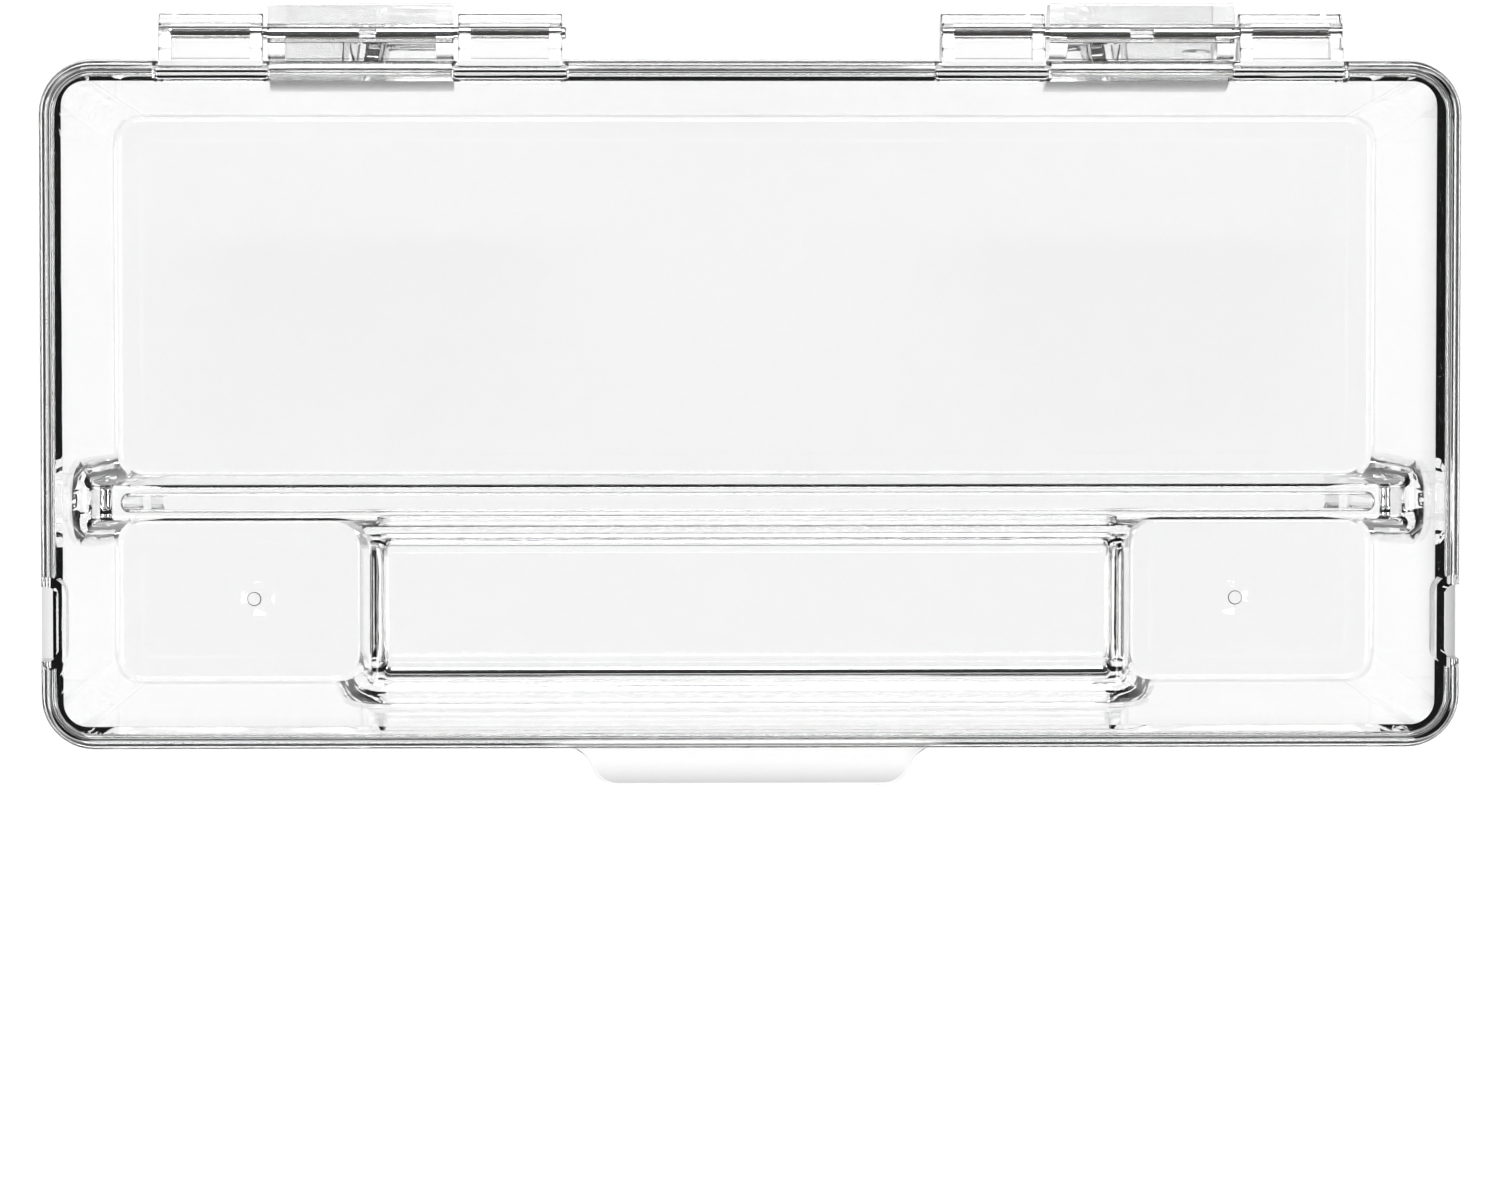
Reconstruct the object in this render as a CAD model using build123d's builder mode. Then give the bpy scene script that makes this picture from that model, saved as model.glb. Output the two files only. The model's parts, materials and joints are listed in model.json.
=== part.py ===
from build123d import *
from math import cos, radians, sin, tan
import os

# Clear moulded toothbrush box: a tray and a lid on two hinges with four short steel pins.
# +X runs along the length, -Y faces the user and +Z is up.
# The origin is under the middle of the closed box, on the surface that it stands on.

# Outline of the rim
box_width = 221.0
box_depth = 107.3
corner_radius = 8.6
rim_width = 3.4
flange_overhang = 0.4
flange_thickness = 1.3
flange_edge_radius = 0.35
skirt_thickness = 1.5

# Tray
base_height = 29.0
base_wall = 2.0
floor_thickness = 2.0
end_draft = 16.0
side_draft = 12.2
bay_corner_radius = 4.0
floor_fillet = 0.6

# Hollow rib between the rear bay and the front bay
divider_offset = 15.65
divider_width = 5.6
divider_drop = 7.0
divider_draft = 2.5
divider_wall = 1.3
divider_front_radius = 1.2
divider_back_radius = 0.9
groove_end_inset = 6.0
groove_end_radius = 1.4
groove_top_radius = 0.6

# Raised middle of the front bay, between its two wells
platform_width = 118.8
platform_drop = 15.5
platform_draft = 10.3
platform_wall = 1.8
platform_scoop = 4.5
platform_edge_radius = 2.2
hollow_corner_radius = 2.0

# Shallow recesses and gate marks under the floor
foot_recess = 0.2
foot_slope = 70.0
foot_end_margin = 3.0
foot_side_margin = 3.0
foot_corner_radius = 2.0
gate_from_platform = 16.3
gate_diameter = 5.5
gate_depth = 0.45
gate_nub_diameter = 2.0
gate_nub_height = 0.3
gate_nub_slope = 30.0
gate_nub_offset = 0.6

# Lid
parting_gap = 0.1
lid_height = 8.9
lid_top_thickness = 2.0
lid_edge_radius = 1.8
lid_inner_radius = 0.9
tab_root_width = 57.8
tab_front_width = 41.5
tab_reach = 5.9

# Notch in each end of the lid
notch_length = 11.6
notch_offset = 33.75
notch_depth = 2.8
notch_wall = 1.45
notch_corner_radius = 1.5

# Hinges
hinge_inset = 50.0
hinge_setback = 3.9
hinge_rise = 4.0
stop_angle = 108.0
side_knuckle_length = 16.1
side_knuckle_radius = 3.1
centre_knuckle_length = 28.7
centre_knuckle_reach = 4.6
knuckle_gap = 0.7
swing_clearance = 0.3
stop_clearance = 0.1
knuckle_edge_radius = 0.35
gusset_height = 12.0
window_length = 12.2
window_back = 1.0
window_front = 4.2
window_floor = 0.3
pocket_length = 23.3
pocket_back = 1.5
pocket_depth = 9.0
pad_overhang = 1.0
pad_depth = 1.8
pad_corner_radius = 0.8
pad_edge_radius = 0.7

# Pins
pin_diameter = 2.0
pin_gap = 3.3
pin_chamfer = 0.2
running_clearance = 0.06
press_interference = 0.01
pin_insets = {"left_outer": 1.5, "left_inner": -0.6, "right_inner": 0.0, "right_outer": -0.1}

# Cuts that leave through a face run this far past it
overcut = 1.0

# A selector takes an edge that lies this near to a wall as lying on it
nearness = 0.01

# Places that follow from the sizes above
hinge_reach = hinge_setback + centre_knuckle_reach
front_edge = -(box_depth + hinge_reach + tab_reach) / 2 + tab_reach
back_edge = front_edge + box_depth
middle_y = (front_edge + back_edge) / 2
divider_top = base_height - divider_drop
divider_y = middle_y - divider_offset
platform_top = base_height - platform_drop
lid_bottom = base_height + parting_gap
lid_top = lid_bottom + lid_height
axis_y = back_edge + hinge_setback
axis_z = base_height + hinge_rise
hinge_half_length = centre_knuckle_length / 2 + knuckle_gap + side_knuckle_length
side_knuckle_offset = hinge_half_length - side_knuckle_length / 2
hinge_offset = box_width / 2 - hinge_inset
hinge_centres = (-hinge_offset, hinge_offset)
side_knuckle_centres = [
    centre + side * side_knuckle_offset for centre in hinge_centres for side in (-1, 1)
]
pin_radius = pin_diameter / 2
pin_length = hinge_half_length - pin_gap / 2


# Inner faces of the tray's walls, which lean out as they rise
def end_wall(z):
    return box_width / 2 - rim_width - (base_height - z) * tan(radians(end_draft))


def back_wall(z):
    return back_edge - rim_width - (base_height - z) * tan(radians(side_draft))


def front_wall(z):
    return front_edge + rim_width + (base_height - z) * tan(radians(side_draft))


def divider_half_width(z):
    return divider_width / 2 + (divider_top - z) * tan(radians(divider_draft))


def platform_half_width(z):
    return platform_width / 2 + (platform_top - z) * tan(radians(platform_draft))


def leaning_edges(part):
    return part.edges().filter_by(lambda edge: abs((edge @ 1 - edge @ 0).Z) > overcut / 2)


def drafted_block(x_range, y_range, z_low, z_high):
    """Block whose four sides follow x_range(z) and y_range(z) from z_low up to z_high."""
    with BuildPart() as block:
        for z in (z_low, z_high):
            x_low, x_high = x_range(z)
            y_low, y_high = y_range(z)
            with BuildSketch(Plane.XY.offset(z)):
                with Locations(((x_low + x_high) / 2, (y_low + y_high) / 2)):
                    Rectangle(x_high - x_low, y_high - y_low)
        loft()
    return block.part


def edges_on(part, side_of, low=floor_thickness, high=base_height):
    """Edges of the part between two heights that lie where side_of says."""
    return part.edges().filter_by(
        lambda edge: low + nearness < (edge @ 0.5).Z < high + nearness and side_of(edge @ 0.5)
    )


def at_rib_end(point):
    beside = abs(point.Y - divider_y) < divider_half_width(floor_thickness) + nearness
    return beside and abs(abs(point.X) - end_wall(point.Z)) < nearness


def at_platform(point):
    return abs(point.X) < platform_half_width(floor_thickness) + nearness


def at_platform_front(point):
    return at_platform(point) and abs(point.Y - front_wall(point.Z)) < nearness


def at_platform_back(point):
    divider_front = divider_y - divider_half_width(point.Z)
    return at_platform(point) and abs(point.Y - divider_front) < nearness


def rear_range(z):
    return divider_y + divider_half_width(z), back_wall(z)


def front_range(z):
    return front_wall(z), divider_y - divider_half_width(z)


# Space inside the tray: one drafted space less the rib and the raised middle
with BuildPart() as inside:
    add(
        drafted_block(
            lambda z: (-end_wall(z), end_wall(z)),
            lambda z: (front_wall(z), back_wall(z)),
            floor_thickness,
            base_height + overcut,
        )
    )
    fillet(leaning_edges(inside), bay_corner_radius)

    # The rib, with rounded top edges, blends into both end walls all round its ends
    add(
        drafted_block(
            lambda z: (-box_width / 2, box_width / 2),
            lambda z: (divider_y - divider_half_width(z), divider_y + divider_half_width(z)),
            0,
            divider_top,
        ),
        mode=Mode.SUBTRACT,
    )
    rib_top = divider_top - 2 * nearness
    rib_edges = edges_on(inside, lambda point: True, rib_top, divider_top).filter_by(Axis.X)
    fillet(rib_edges.sort_by(Axis.Y)[0], divider_front_radius)
    rib_edges = edges_on(inside, lambda point: True, rib_top, divider_top).filter_by(Axis.X)
    fillet(rib_edges.sort_by(Axis.Y)[-1], divider_back_radius)
    fillet(edges_on(inside, at_rib_end), bay_corner_radius)

    # The raised middle, with rounded side edges, blends into the rib and into the front wall
    add(
        drafted_block(
            lambda z: (-platform_half_width(z), platform_half_width(z)),
            lambda z: (front_edge, divider_y),
            0,
            platform_top,
        ),
        mode=Mode.SUBTRACT,
    )
    fillet(edges_on(inside, at_platform, high=platform_top).filter_by(Axis.Y), platform_edge_radius)
    fillet(edges_on(inside, at_platform_back, high=platform_top), platform_scoop)
    fillet(edges_on(inside, at_platform_front, high=platform_top), platform_scoop)

    floors = inside.faces().filter_by(Axis.Z).sort_by(Axis.Z)[:3]
    fillet(floors.edges(), floor_fillet)

# Hollows under the rib and under the platform, one wall thickness inside them
with BuildPart() as groove:
    add(
        drafted_block(
            lambda z: (groove_end_inset - end_wall(z), end_wall(z) - groove_end_inset),
            lambda z: (
                divider_y - divider_half_width(z) + divider_wall,
                divider_y + divider_half_width(z) - divider_wall,
            ),
            -overcut,
            divider_top - divider_wall,
        )
    )
    fillet(leaning_edges(groove), groove_end_radius)
    fillet(groove.faces().sort_by(Axis.Z)[-1].edges(), groove_top_radius)

platform_wall_across = platform_wall / cos(radians(platform_draft))
hollow_top = platform_top - platform_wall
with BuildPart() as platform_hollow:
    add(
        drafted_block(
            lambda z: (
                platform_wall_across - platform_half_width(z),
                platform_half_width(z) - platform_wall_across,
            ),
            front_range,
            -overcut,
            hollow_top,
        )
    )
    hollow_scoop = min(platform_scoop + platform_wall, hollow_top)
    fillet(platform_hollow.faces().sort_by(Axis.Z)[-1].edges().filter_by(Axis.X), hollow_scoop)
    hollow_ends = platform_hollow.faces().sort_by(Axis.X)
    end_edges = hollow_ends[0].edges() + hollow_ends[-1].edges()
    fillet(end_edges.filter_by(lambda edge: (edge @ 0.5).Z > 0), hollow_corner_radius)

# Tray
end_wall_across = base_wall / cos(radians(end_draft))
side_wall_across = base_wall / cos(radians(side_draft))
stop_lean = radians(stop_angle)
stop_distance = hinge_setback + flange_overhang - stop_clearance
knuckle_radius = hinge_setback + flange_overhang - swing_clearance


def stop_face_height(y):
    """Height over the pin of the face that the lid's back wall meets when it is open."""
    return (stop_distance + y * cos(stop_lean)) / sin(stop_lean)


stop_start = (knuckle_radius * sin(stop_lean) - stop_distance) / cos(stop_lean)

# Middle knuckle of a hinge, whose sloping top stops the open lid
with BuildPart() as middle_knuckle:
    with BuildSketch(Plane.YZ.offset(-centre_knuckle_length / 2)):
        with Locations((axis_y, axis_z)):
            Circle(knuckle_radius)
        with BuildLine():
            Polyline(
                (axis_y - hinge_setback, axis_z),
                (axis_y, axis_z + knuckle_radius),
                (axis_y + stop_start, axis_z + knuckle_radius),
                (axis_y + centre_knuckle_reach, axis_z + stop_face_height(centre_knuckle_reach)),
                (axis_y + centre_knuckle_reach, axis_z - side_knuckle_radius),
                (back_wall(base_height), base_height - gusset_height),
                (back_wall(base_height), base_height),
                (axis_y - hinge_setback, base_height),
                close=True,
            )
        make_face()
    extrude(amount=centre_knuckle_length)
    back_face = middle_knuckle.faces().sort_by(Axis.Y)[-1]
    fillet(back_face.edges(), knuckle_edge_radius)

with BuildPart() as base:
    add(
        drafted_block(
            lambda z: (-end_wall(z) - end_wall_across, end_wall(z) + end_wall_across),
            lambda z: (front_wall(z) - side_wall_across, back_wall(z) + side_wall_across),
            0,
            base_height,
        )
    )
    fillet(leaning_edges(base), bay_corner_radius + base_wall)
    fillet(base.faces().sort_by(Axis.Z)[0].edges(), floor_fillet + base_wall)

    # Rim flange
    with BuildSketch(Plane.XY.offset(base_height - flange_thickness)):
        with Locations((0, middle_y)):
            RectangleRounded(box_width, box_depth, corner_radius)
    extrude(amount=flange_thickness)

    for centre in hinge_centres:
        add(middle_knuckle.part.moved(Location((centre, 0, 0))))

    add(inside.part, mode=Mode.SUBTRACT)
    add(groove.part, mode=Mode.SUBTRACT)
    add(platform_hollow.part, mode=Mode.SUBTRACT)

    # Shallow recesses under the floors, which leave a foot ring round each
    rear_low, rear_high = rear_range(floor_thickness)
    front_low, front_high = front_range(floor_thickness)
    well_outer = end_wall(floor_thickness) - foot_end_margin
    well_inner = platform_half_width(floor_thickness) + foot_side_margin
    well_centre = (well_inner + well_outer) / 2
    with BuildSketch(Plane.XY):
        with Locations((0, (rear_low + rear_high) / 2)):
            RectangleRounded(
                2 * well_outer, rear_high - rear_low - 2 * foot_side_margin, foot_corner_radius
            )
        with Locations(
            (-well_centre, (front_low + front_high) / 2), (well_centre, (front_low + front_high) / 2)
        ):
            RectangleRounded(
                well_outer - well_inner,
                front_high - front_low - 2 * foot_side_margin,
                foot_corner_radius,
            )
    extrude(amount=foot_recess, taper=foot_slope, mode=Mode.SUBTRACT)

    # Gate marks: a shallow dish in each well's underside, with the stub of the gate beside its middle
    gate_x = platform_half_width(floor_thickness) + gate_from_platform
    gate_y = (front_low + front_high) / 2
    gate_curvature = (gate_diameter**2 / 4 + gate_depth**2) / (2 * gate_depth)
    gate_top = foot_recess + gate_depth
    with Locations(*[(side * gate_x, gate_y, gate_top - gate_curvature) for side in (-1, 1)]):
        Sphere(gate_curvature, mode=Mode.SUBTRACT)
    with BuildSketch(Plane.XY.offset(gate_top - gate_nub_height)):
        with Locations(*[(side * (gate_x + gate_nub_offset), gate_y) for side in (-1, 1)]):
            Circle(gate_nub_diameter / 2)
    extrude(amount=gate_nub_height, taper=-gate_nub_slope)

    # Pocket in front of each middle knuckle, and the bore that grips the pins
    for centre in hinge_centres:
        with BuildSketch(Plane.XY.offset(axis_z - pocket_depth)):
            with Locations((centre, axis_y - (pocket_back + hinge_setback) / 2)):
                Rectangle(pocket_length, hinge_setback - pocket_back)
        extrude(amount=pocket_depth, mode=Mode.SUBTRACT)
        with BuildSketch(Plane.XY.offset(axis_z)):
            with Locations((centre, axis_y - (pocket_back + knuckle_radius) / 2)):
                Rectangle(pocket_length, knuckle_radius - pocket_back)
        extrude(amount=knuckle_radius, mode=Mode.SUBTRACT)
        with BuildSketch(Plane.YZ.offset(centre - centre_knuckle_length / 2)):
            with Locations((axis_y, axis_z)):
                Circle(pin_radius - press_interference)
        extrude(amount=centre_knuckle_length, mode=Mode.SUBTRACT)

base.part.label = "base"

# Space inside the lid
skirt_inset = flange_overhang + skirt_thickness
with BuildPart() as lid_space:
    with BuildSketch(Plane.XY.offset(lid_bottom - overcut)):
        with Locations((0, middle_y)):
            RectangleRounded(
                box_width - 2 * skirt_inset, box_depth - 2 * skirt_inset, corner_radius - skirt_inset
            )
    extrude(amount=overcut + lid_height - lid_top_thickness)
    fillet(lid_space.edges().group_by(Axis.Z)[-1], lid_inner_radius)

# Outer knuckle of a hinge, with a pad that stiffens the skirt behind it
skirt_y = back_edge - flange_overhang
skirt_middle = skirt_y - skirt_thickness / 2
pad_front = skirt_y - skirt_thickness - pad_depth
with BuildPart() as outer_knuckle:
    with BuildSketch(Plane.YZ.offset(-side_knuckle_length / 2)):
        with Locations((axis_y, axis_z)):
            Circle(side_knuckle_radius)
        with BuildLine():
            Polyline(
                (skirt_middle, lid_bottom),
                (back_edge, lid_bottom),
                (axis_y, axis_z - side_knuckle_radius),
                (axis_y, axis_z + side_knuckle_radius),
                (skirt_y, lid_top),
                (skirt_middle, lid_top),
                close=True,
            )
        make_face()
    extrude(amount=side_knuckle_length)
    fillet(outer_knuckle.faces().filter_by(Axis.X).edges(), knuckle_edge_radius)

with BuildPart() as pad:
    with BuildSketch(Plane.XY.offset(lid_bottom)):
        with Locations((0, (skirt_middle + pad_front) / 2)):
            RectangleRounded(
                side_knuckle_length + 2 * pad_overhang, skirt_middle - pad_front, pad_corner_radius
            )
    extrude(amount=lid_height - lid_top_thickness / 2)
    fillet(pad.faces().sort_by(Axis.Z)[0].edges(), pad_edge_radius)

# Lid
notch_y = middle_y - notch_offset
with BuildPart() as lid:
    # Flange with the thumb tab, whose ends are two equal arcs each
    with BuildSketch(Plane.XY.offset(lid_bottom)):
        with Locations((0, middle_y)):
            RectangleRounded(box_width, box_depth, corner_radius)
        with BuildLine():
            Line((-tab_root_width / 2, front_edge), (tab_root_width / 2, front_edge))
            for side in (-1, 1):
                start = Vector(side * tab_root_width / 2, front_edge)
                end = Vector(side * tab_front_width / 2, front_edge - tab_reach)
                bend = TangentArc(start, (start + end) / 2, tangent=(-side, 0))
                TangentArc((start + end) / 2, end, tangent=bend % 1)
            Line(
                (-tab_front_width / 2, front_edge - tab_reach),
                (tab_front_width / 2, front_edge - tab_reach),
            )
        make_face()
    extrude(amount=flange_thickness)
    fillet(lid.edges().group_by(Axis.Z)[0], flange_edge_radius)
    fillet(lid.edges().group_by(Axis.Z)[-1], flange_edge_radius)

    # Top and skirt
    with BuildSketch(Plane.XY.offset(lid_bottom)):
        with Locations((0, middle_y)):
            RectangleRounded(
                box_width - 2 * flange_overhang,
                box_depth - 2 * flange_overhang,
                corner_radius - flange_overhang,
            )
    extrude(amount=lid_height)
    fillet(lid.edges().group_by(Axis.Z)[-1], lid_edge_radius)
    add(lid_space.part, mode=Mode.SUBTRACT)

    # Notches: the end wall steps in, and a thin wall goes round the step
    notch_centres = [(side * box_width / 2, notch_y) for side in (-1, 1)]
    with BuildSketch(Plane.XY.offset(lid_bottom)):
        with Locations(*notch_centres):
            RectangleRounded(
                2 * (notch_depth + notch_wall),
                notch_length + 2 * notch_wall,
                notch_corner_radius + notch_wall,
            )
        with Locations((0, notch_y)):
            Rectangle(box_width - 2 * skirt_inset + skirt_thickness, box_depth, mode=Mode.INTERSECT)
    extrude(amount=lid_height - lid_top_thickness / 2)
    with BuildSketch(Plane.XY.offset(lid_bottom - overcut)):
        with Locations(*notch_centres):
            RectangleRounded(2 * notch_depth, notch_length, notch_corner_radius)
    extrude(amount=lid_height + 2 * overcut, mode=Mode.SUBTRACT)

    # Room in the flange for the middle knuckles
    with BuildSketch(Plane.XY.offset(lid_bottom - overcut)):
        for centre in hinge_centres:
            with Locations((centre, skirt_y + rim_width / 2)):
                Rectangle(centre_knuckle_length + 2 * knuckle_gap, rim_width)
    extrude(amount=flange_thickness + 2 * overcut, mode=Mode.SUBTRACT)

    for centre in side_knuckle_centres:
        add(outer_knuckle.part.moved(Location((centre, 0, 0))))
        add(pad.part.moved(Location((centre, 0, 0))))

        # Window over the pin, and the bore that turns on it
        with BuildSketch(Plane.XY.offset(axis_z - window_floor)):
            with Locations((centre, axis_y + (window_back - window_front) / 2)):
                Rectangle(window_length, window_back + window_front)
        extrude(amount=lid_height, mode=Mode.SUBTRACT)
        with BuildSketch(Plane.YZ.offset(centre - side_knuckle_length / 2 - overcut)):
            with Locations((axis_y, axis_z)):
                Circle(pin_radius + running_clearance)
        extrude(amount=side_knuckle_length + 2 * overcut, mode=Mode.SUBTRACT)

lid.part.label = "lid"

# Hinge pins, pressed in from both ends of each hinge
pins = {}
for place, inset in pin_insets.items():
    hinge = hinge_centres[0] if place.startswith("left") else hinge_centres[1]
    outwards = -1 if place in ("left_outer", "right_inner") else 1
    outer_end = hinge + outwards * (hinge_half_length - inset)
    with BuildPart() as pin:
        with BuildSketch(Plane.YZ.offset(min(outer_end, outer_end - outwards * pin_length))):
            with Locations((axis_y, axis_z)):
                Circle(pin_radius)
        extrude(amount=pin_length)
        chamfer(pin.edges(), pin_chamfer)
    pin.part.label = "hinge_pin_" + place
    pins[pin.part.label] = pin.part

os.makedirs("parts", exist_ok=True)
export_step(base.part, "parts/base.step")
export_step(lid.part, "parts/lid.step")
for name, pin_part in pins.items():
    export_step(pin_part, "parts/" + name + ".step")
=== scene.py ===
"""Dresses the clear toothbrush box: tray, lid and hinge pins, on a pale stage."""

import json

import bpy
from bpy.props import FloatProperty, FloatVectorProperty, PointerProperty
from bpy.types import Operator, Panel, PropertyGroup
from mathutils import Matrix, Vector

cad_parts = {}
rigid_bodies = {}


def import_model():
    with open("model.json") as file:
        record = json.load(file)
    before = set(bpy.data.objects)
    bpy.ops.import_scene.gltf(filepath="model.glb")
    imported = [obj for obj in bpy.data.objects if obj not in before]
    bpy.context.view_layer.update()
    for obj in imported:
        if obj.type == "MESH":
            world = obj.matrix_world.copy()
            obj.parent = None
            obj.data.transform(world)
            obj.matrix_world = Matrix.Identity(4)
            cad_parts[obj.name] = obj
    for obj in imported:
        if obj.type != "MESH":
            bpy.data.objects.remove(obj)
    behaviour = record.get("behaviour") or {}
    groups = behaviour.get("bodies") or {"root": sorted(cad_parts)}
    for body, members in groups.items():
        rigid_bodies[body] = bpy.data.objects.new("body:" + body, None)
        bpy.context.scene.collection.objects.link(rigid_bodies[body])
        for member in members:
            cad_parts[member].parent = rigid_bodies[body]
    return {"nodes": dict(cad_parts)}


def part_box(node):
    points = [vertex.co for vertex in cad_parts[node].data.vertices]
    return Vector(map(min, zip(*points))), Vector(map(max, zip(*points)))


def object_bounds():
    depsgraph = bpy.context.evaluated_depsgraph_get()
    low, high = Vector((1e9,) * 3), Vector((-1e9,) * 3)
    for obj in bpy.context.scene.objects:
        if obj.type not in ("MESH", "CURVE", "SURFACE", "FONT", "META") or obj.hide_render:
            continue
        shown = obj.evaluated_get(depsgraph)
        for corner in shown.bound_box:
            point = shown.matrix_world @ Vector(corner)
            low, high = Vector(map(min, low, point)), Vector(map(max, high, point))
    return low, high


bl_info = {
    "name": "Clear toothbrush box",
    "version": (1, 0, 0),
    "blender": (4, 5, 0),
    "location": "View3D > Sidebar > Toothbrush box",
    "description": "Clear moulded plastic, steel hinge pins and a pale stage for a toothbrush box",
    "category": "Object",
}

for leftover in list(bpy.data.objects):
    bpy.data.objects.remove(leftover)
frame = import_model()
cad_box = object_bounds()

MM = 0.001

# The photograph's width in pixels, and the size of a pixel in the rim's plane
IMAGE_WIDTH = 1500
PIXEL = 0.1562 * MM
SENSOR_WIDTH = 36.0

# The camera's place over the box, and the point of the rim's plane in the middle of the picture
PHOTO_CAMERA = (-36.0 * MM, 34.65 * MM)
PHOTO_MIDDLE = (-0.1 * MM, -31.55 * MM)
PHOTO_RIM = 29.0 * MM

# Light passes many faces of clear plastic before it leaves the box
LIGHT_BOUNCES = 32

# The card lies a hair under the tray, so that their faces don't coincide
FLOOR_HEIGHT = -0.1 * MM

# The band of painted shade on the floor, which only rays through the plastic or off the steel see,
# follows the tab and the two hinges
TAB_SIDE = 27.0 * MM
HINGE_MIDDLE = 60.5 * MM
HINGE_SIDE = 30.8 * MM
HINGE_REACH = 8.5 * MM

# Brightness of the card where it is pale and inside the band of painted shade, and how softly the
# band ends
CARD_PALE = 0.9
CARD_PAINTED_SHADE = 0.05
BAND_FADE = 1.5

# Hair scratches lie in three directions, each given as its turn and its length over its width
SCRATCH_LAYS = ((0.5, 30.0), (-0.9, 22.0), (2.2, 40.0))
SCRATCH_CUT = (0.68, 0.74)
RUBBED_PATCH = 30.0
RUBBED_CUT = (0.45, 0.7)

# Where the slow waves are high enough to carry ripples
RIPPLE_CUT = (0.35, 0.65)

# How the grinding lines of the pins shine and stand out
STEEL_ROUGHNESS = (0.03, 0.12)
LINE_LENGTHS = 200.0
LINE_HEIGHT = 0.002

# What is left of a shadow or diffuse ray that goes through a face of the plastic
PASSING = 0.995


class PlasticSettings(PropertyGroup):
    """The clear plastic of the tray and the lid."""

    tint: FloatVectorProperty(
        name="Tint",
        description="Colour of the plastic",
        subtype="COLOR",
        size=3,
        min=0.0,
        max=1.0,
        default=(0.997, 0.998, 0.998),
    )
    refraction: FloatProperty(
        name="Refractive index",
        description="How strongly the plastic bends light",
        default=1.57,
        min=1.3,
        max=1.8,
    )
    polish: FloatProperty(
        name="Polish",
        description="Roughness of a clean moulded face",
        default=0.0,
        min=0.0,
        max=0.3,
    )
    haze: FloatProperty(
        name="Haze",
        description="Roughness where the faces are rubbed",
        default=0.035,
        min=0.0,
        max=0.3,
    )
    flow_size: FloatProperty(
        name="Flow size",
        description="Width of the slow waves that the plastic sets in",
        default=11 * MM,
        unit="LENGTH",
    )
    flow_height: FloatProperty(
        name="Flow height",
        description="Height of the slow waves",
        default=0.008 * MM,
        unit="LENGTH",
    )
    ripple_size: FloatProperty(
        name="Ripple size",
        description="Width of the fine unevenness near the edges",
        default=1.6 * MM,
        unit="LENGTH",
    )
    ripple_height: FloatProperty(
        name="Ripple height",
        description="Height of the fine unevenness",
        default=0.0002 * MM,
        unit="LENGTH",
    )
    scratch_size: FloatProperty(
        name="Scratch size",
        description="Width of the band that holds one hair scratch",
        default=0.9 * MM,
        unit="LENGTH",
    )


class SteelSettings(PropertyGroup):
    """The ground steel of the hinge pins."""

    colour: FloatVectorProperty(
        name="Colour",
        description="Colour of the steel",
        subtype="COLOR",
        size=3,
        min=0.0,
        max=1.0,
        default=(0.8, 0.79, 0.78),
    )
    line_size: FloatProperty(
        name="Grinding line size",
        description="Spacing of the grinding lines round a pin",
        default=0.12 * MM,
        unit="LENGTH",
    )


class StageSettings(PropertyGroup):
    """Camera, lights and floor."""

    camera_height: FloatProperty(
        name="Camera height",
        description="Height of the camera over the rim",
        default=1200 * MM,
        unit="LENGTH",
    )
    floor_size: FloatProperty(
        name="Floor size",
        description="Width of the floor",
        default=6.0,
        unit="LENGTH",
    )
    lamp_distance: FloatProperty(
        name="Lamp distance",
        description="Distance of each softbox from the box, along the floor",
        default=1.5,
        unit="LENGTH",
    )
    lamp_height: FloatProperty(
        name="Lamp height",
        description="Height of the softboxes over the floor",
        default=1.1,
        unit="LENGTH",
    )
    lamp_width: FloatProperty(
        name="Lamp width",
        description="Width of a softbox",
        default=1.1,
        unit="LENGTH",
    )
    lamp_depth: FloatProperty(
        name="Lamp depth",
        description="Height of a softbox's face",
        default=0.6,
        unit="LENGTH",
    )
    lamp_power: FloatProperty(
        name="Lamp power",
        description="Power of each softbox",
        default=18.3,
        unit="POWER",
    )
    room_low: FloatProperty(
        name="Room near the floor",
        description="Brightness of the room beside the box",
        default=0.01,
        min=0.0,
    )
    room_high: FloatProperty(
        name="Room overhead",
        description="Brightness of the room over the box",
        default=0.07,
        min=0.0,
    )
    # Where the band of painted shade lies: the card turns dark there only for rays through the
    # plastic or off the steel, never for the camera's own rays
    painted_shade_start: FloatProperty(
        name="Painted shade start",
        description="Distance outside the box's outline at which the floor starts to darken",
        default=-2 * MM,
        unit="LENGTH",
    )
    painted_shade_end: FloatProperty(
        name="Painted shade end",
        description="Distance outside the box's outline at which the floor is dark",
        default=8 * MM,
        unit="LENGTH",
    )
    mask_width: FloatProperty(
        name="Painted shade width",
        description="Distance outside the box's outline at which the dark band ends",
        default=90 * MM,
        unit="LENGTH",
    )
    backdrop: FloatProperty(
        name="Backdrop",
        description="Brightness of the backdrop behind the floor",
        default=0.85,
        min=0.0,
    )


def add_node(tree, kind, **values):
    """A new node, with its properties set by name."""
    node = tree.nodes.new(kind)
    for name, value in values.items():
        setattr(node, name, value)
    return node


def connect(tree, output, target):
    """Join an output to an input."""
    tree.links.new(output, target)


def new_material(name):
    """A material with an empty node tree."""
    material = bpy.data.materials.new(name)
    material.use_nodes = True
    material.node_tree.nodes.clear()
    return material


def new_group(name, inputs, outputs):
    """An empty shader node group with its sockets, each given as (name, socket type)."""
    group = bpy.data.node_groups.new(name, "ShaderNodeTree")
    for label, kind in inputs:
        group.interface.new_socket(label, in_out="INPUT", socket_type=kind)
    for label, kind in outputs:
        group.interface.new_socket(label, in_out="OUTPUT", socket_type=kind)
    return group, group.nodes.new("NodeGroupInput"), group.nodes.new("NodeGroupOutput")


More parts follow.
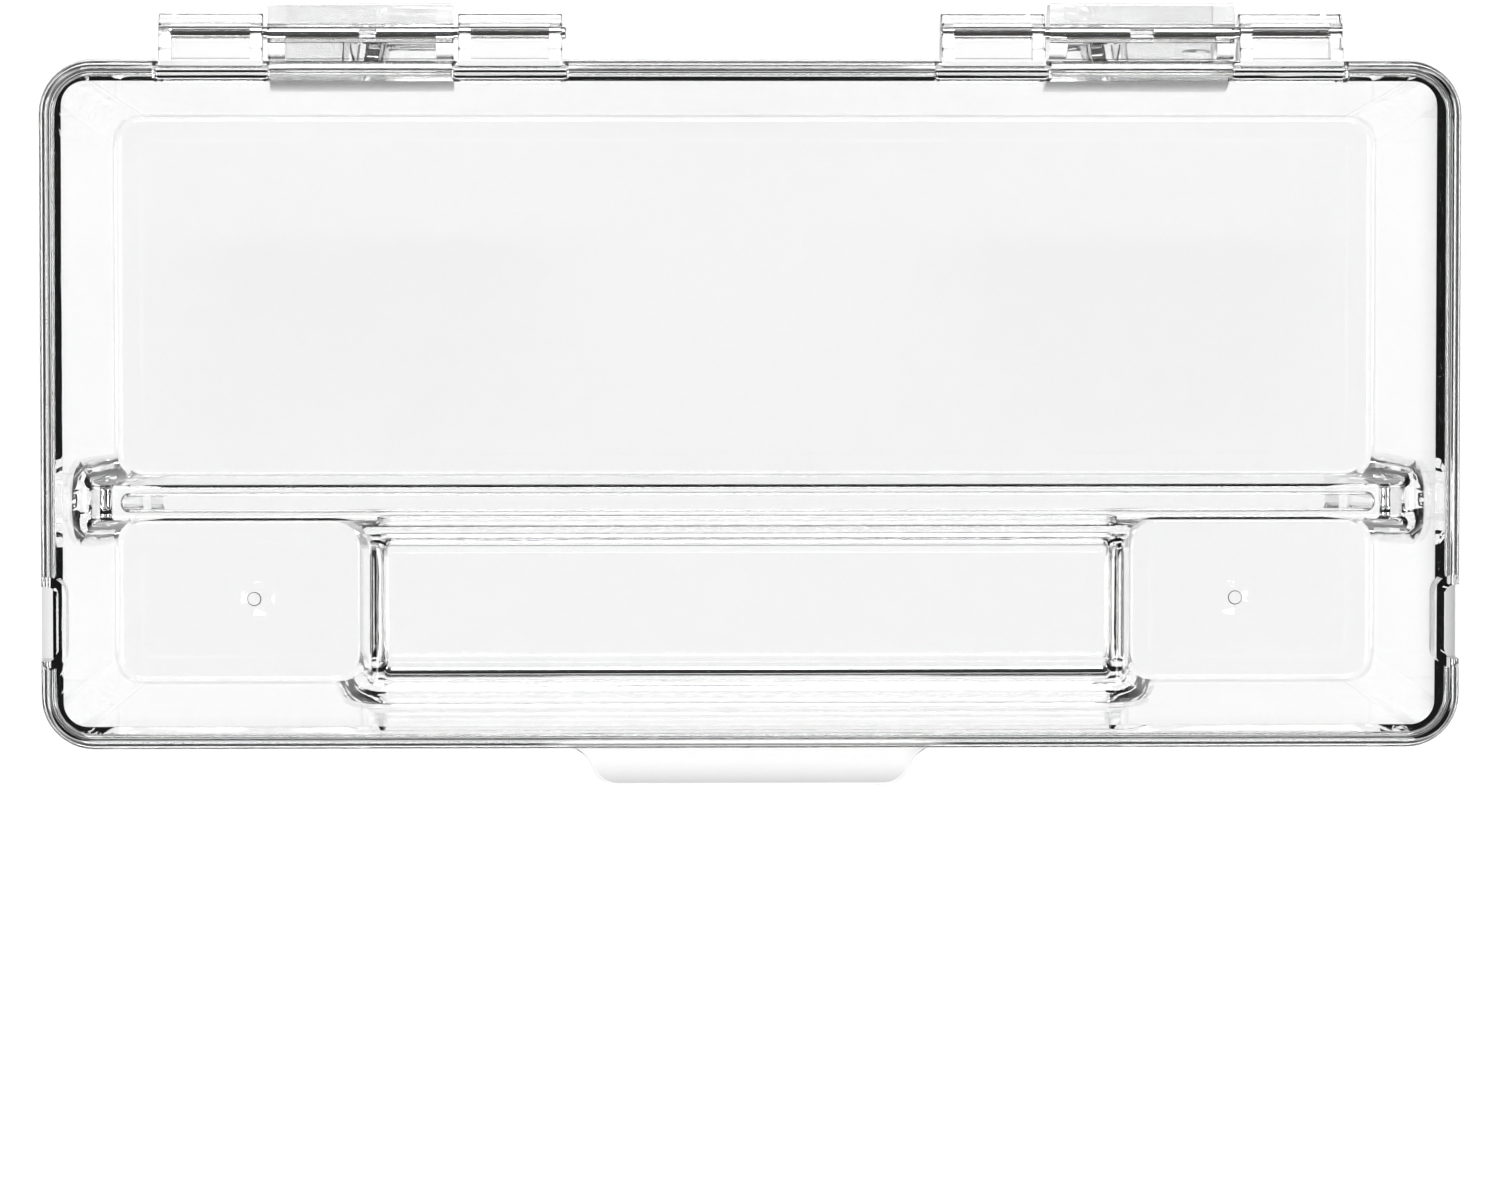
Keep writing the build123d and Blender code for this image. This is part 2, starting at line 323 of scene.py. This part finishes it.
def noise(tree, position, size, detail=2.0, distortion=0.0):
    """Noise whose features are as large as the size that a socket gives."""
    scale = add_node(tree, "ShaderNodeMath", operation="DIVIDE")
    scale.inputs[0].default_value = 1.0
    connect(tree, size, scale.inputs[1])
    cloud = add_node(tree, "ShaderNodeTexNoise")
    cloud.inputs["Detail"].default_value = detail
    cloud.inputs["Distortion"].default_value = distortion
    connect(tree, position, cloud.inputs["Vector"])
    connect(tree, scale.outputs[0], cloud.inputs["Scale"])
    return cloud.outputs["Fac"]


def step(tree, value, low, high):
    """Zero below low, one above high and smooth between them."""
    ramp = add_node(tree, "ShaderNodeMapRange", interpolation_type="SMOOTHSTEP")
    ramp.inputs["From Min"].default_value = low
    ramp.inputs["From Max"].default_value = high
    connect(tree, value, ramp.inputs["Value"])
    return ramp.outputs["Result"]


def combine(tree, operation, first, second=0.0):
    """One sum of two values, each a number or a socket."""
    node = add_node(tree, "ShaderNodeMath", operation=operation)
    for socket, value in zip(node.inputs, (first, second)):
        if isinstance(value, (int, float)):
            socket.default_value = value
        else:
            connect(tree, value, socket)
    return node.outputs[0]


def moulding_flow():
    """Height of the waves that injection leaves: slow ones all over, finer ones in patches."""
    vector, number = "NodeSocketVector", "NodeSocketFloat"
    group, given, result = new_group(
        "moulding_flow",
        [
            ("Position", vector),
            ("Wave size", number),
            ("Wave height", number),
            ("Ripple size", number),
            ("Ripple height", number),
        ],
        [("Height", number)],
    )
    waves = noise(group, given.outputs["Position"], given.outputs["Wave size"], 1.0, 0.6)
    ripples = noise(group, given.outputs["Position"], given.outputs["Ripple size"], 2.0, 0.3)
    high_waves = combine(group, "MULTIPLY", waves, given.outputs["Wave height"])
    high_ripples = combine(group, "MULTIPLY", ripples, given.outputs["Ripple height"])
    patchy = combine(group, "MULTIPLY", high_ripples, step(group, waves, *RIPPLE_CUT))
    connect(group, combine(group, "ADD", high_waves, patchy), result.inputs["Height"])
    return group


def rubbed_faces():
    """Mask of hair scratches that cross each other in worn patches."""
    group, given, result = new_group(
        "rubbed_faces",
        [("Position", "NodeSocketVector"), ("Scratch size", "NodeSocketFloat")],
        [("Mask", "NodeSocketFloat")],
    )
    strokes = []
    for turn, slimness in SCRATCH_LAYS:
        lay = add_node(group, "ShaderNodeMapping")
        lay.inputs["Rotation"].default_value[2] = turn
        lay.inputs["Scale"].default_value = (1 / slimness, 1.0, 1 / slimness)
        connect(group, given.outputs["Position"], lay.inputs["Vector"])
        stroke = noise(group, lay.outputs["Vector"], given.outputs["Scratch size"], 1.0, 0.2)
        strokes.append(step(group, stroke, *SCRATCH_CUT))
    crossing = combine(group, "MAXIMUM", combine(group, "MAXIMUM", *strokes[:2]), strokes[2])
    patch_size = combine(group, "MULTIPLY", given.outputs["Scratch size"], RUBBED_PATCH)
    patches = step(group, noise(group, given.outputs["Position"], patch_size), *RUBBED_CUT)
    connect(group, combine(group, "MULTIPLY", crossing, patches), result.inputs["Mask"])
    return group


def place_group(tree, group, values):
    """The group as a node that reads Object coordinates, with its own values."""
    node = add_node(tree, "ShaderNodeGroup", node_tree=group)
    place = add_node(tree, "ShaderNodeTexCoord")
    connect(tree, place.outputs["Object"], node.inputs["Position"])
    for name, value in values.items():
        node.inputs[name].default_value = value
    return node


def uneven_normal(tree, height, shader):
    """Feed a height in metres to a shader's normal."""
    bump = add_node(tree, "ShaderNodeBump")
    bump.inputs["Distance"].default_value = 1.0
    connect(tree, height, bump.inputs["Height"])
    connect(tree, bump.outputs["Normal"], shader.inputs["Normal"])


def clear_plastic(name, settings, calm):
    """Clear moulded plastic that lets the lamps through to what is under it.

    Calm divides the height of its waves, for a piece that sets evenly.
    """
    material = new_material(name)
    tree = material.node_tree
    output = add_node(tree, "ShaderNodeOutputMaterial")
    plastic = add_node(tree, "ShaderNodeBsdfPrincipled")
    plastic.inputs["Base Color"].default_value = (*settings.tint, 1.0)
    plastic.inputs["IOR"].default_value = settings.refraction
    plastic.inputs["Transmission Weight"].default_value = 1.0

    flow = place_group(
        tree,
        bpy.data.node_groups["moulding_flow"],
        {
            "Wave size": settings.flow_size,
            "Wave height": settings.flow_height / calm,
            "Ripple size": settings.ripple_size,
            "Ripple height": settings.ripple_height / calm,
        },
    )
    uneven_normal(tree, flow.outputs["Height"], plastic)
    rubbed = place_group(
        tree, bpy.data.node_groups["rubbed_faces"], {"Scratch size": settings.scratch_size}
    )
    finish = add_node(tree, "ShaderNodeMapRange")
    finish.inputs["To Min"].default_value = settings.polish
    finish.inputs["To Max"].default_value = settings.haze
    connect(tree, rubbed.outputs["Mask"], finish.inputs["Value"])
    connect(tree, finish.outputs["Result"], plastic.inputs["Roughness"])

    passing = add_node(tree, "ShaderNodeBsdfTransparent")
    passing.inputs["Color"].default_value = (PASSING, PASSING, PASSING, 1.0)
    rays = add_node(tree, "ShaderNodeLightPath")
    shadow, diffuse = rays.outputs["Is Shadow Ray"], rays.outputs["Is Diffuse Ray"]
    unseen = combine(tree, "MAXIMUM", shadow, diffuse)
    choice = add_node(tree, "ShaderNodeMixShader")
    connect(tree, unseen, choice.inputs[0])
    connect(tree, plastic.outputs["BSDF"], choice.inputs[1])
    connect(tree, passing.outputs["BSDF"], choice.inputs[2])
    connect(tree, choice.outputs["Shader"], output.inputs["Surface"])
    return material


def ground_steel(name, settings):
    """Bright steel with fine grinding lines round the pin."""
    material = new_material(name)
    tree = material.node_tree
    output = add_node(tree, "ShaderNodeOutputMaterial")
    steel = add_node(tree, "ShaderNodeBsdfPrincipled")
    steel.inputs["Base Color"].default_value = (*settings.colour, 1.0)
    steel.inputs["Metallic"].default_value = 1.0
    place = add_node(tree, "ShaderNodeTexCoord")
    lay = add_node(tree, "ShaderNodeMapping")
    lay.inputs["Scale"].default_value = (1 / settings.line_size, LINE_LENGTHS, LINE_LENGTHS)
    connect(tree, place.outputs["Object"], lay.inputs["Vector"])
    lines = add_node(tree, "ShaderNodeTexNoise")
    lines.inputs["Scale"].default_value = 1.0
    connect(tree, lay.outputs["Vector"], lines.inputs["Vector"])
    finish = add_node(tree, "ShaderNodeMapRange")
    finish.inputs["To Min"].default_value = STEEL_ROUGHNESS[0]
    finish.inputs["To Max"].default_value = STEEL_ROUGHNESS[1]
    connect(tree, lines.outputs["Fac"], finish.inputs["Value"])
    connect(tree, finish.outputs["Result"], steel.inputs["Roughness"])
    height = combine(tree, "MULTIPLY", lines.outputs["Fac"], LINE_HEIGHT * settings.line_size)
    uneven_normal(tree, height, steel)
    connect(tree, steel.outputs["BSDF"], output.inputs["Surface"])
    return material


def outside_distance(tree, position):
    """Distance of a place outside the outline of the closed box: its rim, its tab and its hinges.

    The outline is the same on both sides, so it is measured on one.
    """
    side, tab_front = cad_box[1][0], cad_box[0][1]
    tray_low, tray_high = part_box("base")
    front, back = tray_low[1], tray_high[1]
    rim = ((-side, side), (front, back - HINGE_REACH))
    tab = ((-TAB_SIDE, TAB_SIDE), (tab_front, front))
    hinge = ((HINGE_MIDDLE - HINGE_SIDE, HINGE_MIDDLE + HINGE_SIDE), (front, back))
    axes = add_node(tree, "ShaderNodeSeparateXYZ")
    connect(tree, position, axes.inputs[0])
    across = combine(tree, "ABSOLUTE", axes.outputs["X"])
    outside = []
    for shape in (rim, tab, hinge):
        sides = []
        for axis, (start, end) in zip((across, axes.outputs["Y"]), shape):
            from_middle = combine(tree, "SUBTRACT", axis, (start + end) / 2)
            distance = combine(tree, "ABSOLUTE", from_middle)
            sides.append(combine(tree, "SUBTRACT", distance, (end - start) / 2))
        outside.append(combine(tree, "MAXIMUM", *sides))
    return combine(tree, "MINIMUM", combine(tree, "MINIMUM", *outside[:2]), outside[2])


def pale_floor(name, settings):
    """Matt white card, lit brightly under the box.

    Seen through the plastic or in the steel, it has a dark band round the box: painted shade in
    the card's colour, which the camera's own rays never see, and which draws the dark lines along
    the edges of the plastic.
    """
    material = new_material(name)
    tree = material.node_tree
    output = add_node(tree, "ShaderNodeOutputMaterial")
    card = add_node(tree, "ShaderNodeBsdfPrincipled")
    card.inputs["Roughness"].default_value = 0.9
    card.inputs["Specular IOR Level"].default_value = 0.0

    place = add_node(tree, "ShaderNodeTexCoord")
    away = outside_distance(tree, place.outputs["Object"])
    inner = step(tree, away, settings.painted_shade_start, settings.painted_shade_end)
    outer = step(tree, away, settings.mask_width, BAND_FADE * settings.mask_width)
    band = combine(tree, "SUBTRACT", inner, outer)
    # Painted shade: rays through the plastic or off the steel see the card dark inside the band,
    # while the camera sees it pale
    rays = add_node(tree, "ShaderNodeLightPath")
    through, mirrored = rays.outputs["Is Transmission Ray"], rays.outputs["Is Glossy Ray"]
    seen = combine(tree, "MAXIMUM", through, mirrored)
    shade = add_node(tree, "ShaderNodeMix", data_type="RGBA")
    shade.inputs[6].default_value = (CARD_PALE, CARD_PALE, CARD_PALE, 1.0)
    shade.inputs[7].default_value = (CARD_PAINTED_SHADE, CARD_PAINTED_SHADE, CARD_PAINTED_SHADE, 1.0)
    connect(tree, combine(tree, "MULTIPLY", band, seen), shade.inputs["Factor"])
    connect(tree, shade.outputs[2], card.inputs["Base Color"])
    connect(tree, card.outputs["BSDF"], output.inputs["Surface"])
    return material


def softbox(name, place, settings):
    """A rectangular area light at place, turned towards the box."""
    lamp = bpy.data.lights.new(name, "AREA")
    lamp.shape = "RECTANGLE"
    lamp.size = settings.lamp_width
    lamp.size_y = settings.lamp_depth
    lamp.energy = settings.lamp_power
    holder = bpy.data.objects.new(name, lamp)
    holder.location = place
    holder.rotation_euler = (-Vector(place)).to_track_quat("-Z", "Y").to_euler()
    bpy.context.scene.collection.objects.link(holder)


def dim_room(settings):
    """A room that is dark beside the box and a little lighter overhead, with a pale backdrop."""
    world = bpy.data.worlds.new("studio")
    world.use_nodes = True
    tree = world.node_tree
    direction = add_node(tree, "ShaderNodeTexCoord")
    axes = add_node(tree, "ShaderNodeSeparateXYZ")
    room = add_node(tree, "ShaderNodeMapRange")
    room.inputs["To Min"].default_value = settings.room_low
    room.inputs["To Max"].default_value = settings.room_high
    rays = add_node(tree, "ShaderNodeLightPath")
    choice = add_node(tree, "ShaderNodeMix", data_type="FLOAT")
    choice.inputs["B"].default_value = settings.backdrop
    connect(tree, direction.outputs["Generated"], axes.inputs[0])
    connect(tree, axes.outputs["Z"], room.inputs["Value"])
    connect(tree, rays.outputs["Is Camera Ray"], choice.inputs["Factor"])
    connect(tree, room.outputs["Result"], choice.inputs["A"])
    connect(tree, choice.outputs["Result"], tree.nodes["Background"].inputs["Color"])
    return world


def photo_camera(settings):
    """A camera nearly over the box, a little behind and to its left, framed as the photograph."""
    place = Vector((*PHOTO_CAMERA, PHOTO_RIM + settings.camera_height))
    target = Vector((*PHOTO_MIDDLE, PHOTO_RIM))
    forward = (target - place).normalized()
    right = forward.cross(Vector((0, 1, 0))).normalized()
    up = right.cross(forward)
    lens = bpy.data.cameras.new("camera")
    lens.sensor_width = SENSOR_WIDTH
    lens.lens = SENSOR_WIDTH * (target - place).length / (IMAGE_WIDTH * PIXEL)
    camera = bpy.data.objects.new("camera", lens)
    turn = Matrix((right, up, -forward)).transposed().to_4x4()
    camera.matrix_world = Matrix.Translation(place) @ turn
    bpy.context.scene.collection.objects.link(camera)
    return camera


class TOOTHBRUSH_BOX_OT_tray(Operator):
    """Give the tray its clear moulded plastic"""

    bl_idname = "toothbrush_box.tray"
    bl_label = "Tray"

    def execute(self, context):
        plastic = clear_plastic("tray_plastic", context.scene.box_plastic, 1.0)
        frame["nodes"]["base"].material_slots[0].material = plastic
        return {"FINISHED"}


class TOOTHBRUSH_BOX_OT_lid(Operator):
    """Give the lid its clear moulded plastic"""

    bl_idname = "toothbrush_box.lid"
    bl_label = "Lid"

    def execute(self, context):
        plastic = clear_plastic("lid_plastic", context.scene.box_plastic, 1.5)
        frame["nodes"]["lid"].material_slots[0].material = plastic
        return {"FINISHED"}


class TOOTHBRUSH_BOX_OT_pins(Operator):
    """Give the hinge pins their ground steel"""

    bl_idname = "toothbrush_box.pins"
    bl_label = "Hinge pins"

    def execute(self, context):
        steel = ground_steel("pin_steel_ground", context.scene.box_steel)
        for name, node in frame["nodes"].items():
            if name.startswith("hinge_pin"):
                node.material_slots[0].material = steel
        return {"FINISHED"}


class TOOTHBRUSH_BOX_OT_stage(Operator):
    """Set up the floor, the lights and the camera"""

    bl_idname = "toothbrush_box.stage"
    bl_label = "Stage"

    def execute(self, context):
        settings = context.scene.box_stage
        half = settings.floor_size / 2
        mesh = bpy.data.meshes.new("floor")
        corners = [(-1, -1), (1, -1), (1, 1), (-1, 1)]
        points = [(half * x, half * y, FLOOR_HEIGHT) for x, y in corners]
        mesh.from_pydata(points, [], [(0, 1, 2, 3)])
        floor = bpy.data.objects.new("floor", mesh)
        floor.data.materials.append(pale_floor("floor_card", settings))
        context.scene.collection.objects.link(floor)

        reach, height = settings.lamp_distance, settings.lamp_height
        softbox("left_softbox", (-reach, 0.0, height), settings)
        softbox("right_softbox", (reach, 0.0, height), settings)
        softbox("front_softbox", (0.0, -reach, height), settings)
        softbox("back_softbox", (0.0, reach, height), settings)

        scene = context.scene
        scene.world = dim_room(settings)
        scene.camera = photo_camera(settings)
        scene.view_settings.view_transform = "Standard"
        scene.cycles.max_bounces = LIGHT_BOUNCES
        scene.cycles.transmission_bounces = LIGHT_BOUNCES
        scene.cycles.transparent_max_bounces = 2 * LIGHT_BOUNCES
        return {"FINISHED"}


class TOOTHBRUSH_BOX_PT_panel(Panel):
    """Lists the settings and steps of the toothbrush box"""

    bl_idname = "TOOTHBRUSH_BOX_PT_panel"
    bl_label = "Toothbrush box"
    bl_space_type = "VIEW_3D"
    bl_region_type = "UI"
    bl_category = "Toothbrush box"

    def draw(self, context):
        layout = self.layout
        scene = context.scene
        for settings in (scene.box_plastic, scene.box_steel, scene.box_stage):
            for name in settings.bl_rna.properties.keys():
                if name not in ("rna_type", "name"):
                    layout.prop(settings, name)
        for task in STEPS:
            layout.operator(task.bl_idname)


STEPS = (
    TOOTHBRUSH_BOX_OT_tray,
    TOOTHBRUSH_BOX_OT_lid,
    TOOTHBRUSH_BOX_OT_pins,
    TOOTHBRUSH_BOX_OT_stage,
)
CLASSES = (PlasticSettings, SteelSettings, StageSettings, *STEPS, TOOTHBRUSH_BOX_PT_panel)


def register():
    for kind in CLASSES:
        bpy.utils.register_class(kind)
    bpy.types.Scene.box_plastic = PointerProperty(type=PlasticSettings)
    bpy.types.Scene.box_steel = PointerProperty(type=SteelSettings)
    bpy.types.Scene.box_stage = PointerProperty(type=StageSettings)


def unregister():
    del bpy.types.Scene.box_stage
    del bpy.types.Scene.box_steel
    del bpy.types.Scene.box_plastic
    for kind in reversed(CLASSES):
        bpy.utils.unregister_class(kind)


def main():
    register()
    moulding_flow()
    rubbed_faces()
    bpy.ops.toothbrush_box.tray()
    bpy.ops.toothbrush_box.lid()
    bpy.ops.toothbrush_box.pins()
    bpy.ops.toothbrush_box.stage()


if __name__ == "__main__":
    main()
